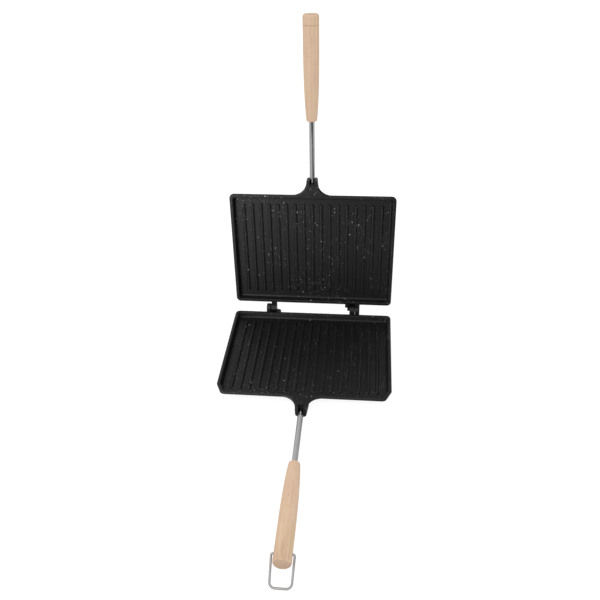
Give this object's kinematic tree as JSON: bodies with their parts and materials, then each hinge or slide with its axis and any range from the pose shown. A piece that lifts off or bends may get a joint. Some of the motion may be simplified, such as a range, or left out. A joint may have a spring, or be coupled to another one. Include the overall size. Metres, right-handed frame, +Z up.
{
  "type": "hinged grill iron",
  "caption": "Hinged double-sided grill iron: ribbed cast plates on a pinned hinge, steel rods with turned wooden grips, and a wire bail that locks the grips together.",
  "frame": {"origin": "centre of the lower plate's flat base", "axes": "+Z up out of the lower plate, +Y towards the hinge, handles towards -Y, +X to the right seen from the grips"},
  "size_m": [0.22, 0.4825, 0.4084],
  "materials": {
    "coated_casting": "cast aluminium under black speckled non-stick coating",
    "rod_steel": "bright drawn steel rod",
    "pin_steel": "dull steel pin",
    "screw_steel": "blackened steel",
    "insert_brass": "turned brass",
    "grip_wood": "turned beech, sanded, unvarnished",
    "bail_wire": "bright steel wire"
  },
  "bodies": {
    "lower_half": {"lower_plate": "coated_casting", "left_hinge_pin": "pin_steel", "lower_handle_rod": "rod_steel", "lower_set_screw": "screw_steel", "lower_grip_insert": "insert_brass", "lower_grip": "grip_wood"},
    "upper_half": {"upper_plate": "coated_casting", "right_hinge_pin": "pin_steel", "upper_handle_rod": "rod_steel", "upper_set_screw": "screw_steel", "upper_grip_insert": "insert_brass", "upper_grip": "grip_wood"},
    "bail": {"locking_bail": "bail_wire"}
  },
  "joints": [
    {"name": "plate_hinge", "type": "hinge", "parent": "lower_half", "child": "upper_half", "pos_m": [0, 0.0899, 0.011], "axis": [1, 0, 0], "range_deg": [0, 98]},
    {"name": "bail_swing", "type": "hinge", "parent": "lower_half", "child": "bail", "pos_m": [0, -0.2881, 0.0012], "axis": [-1, 0, 0], "range_deg": [-138, 111]}
  ]
}
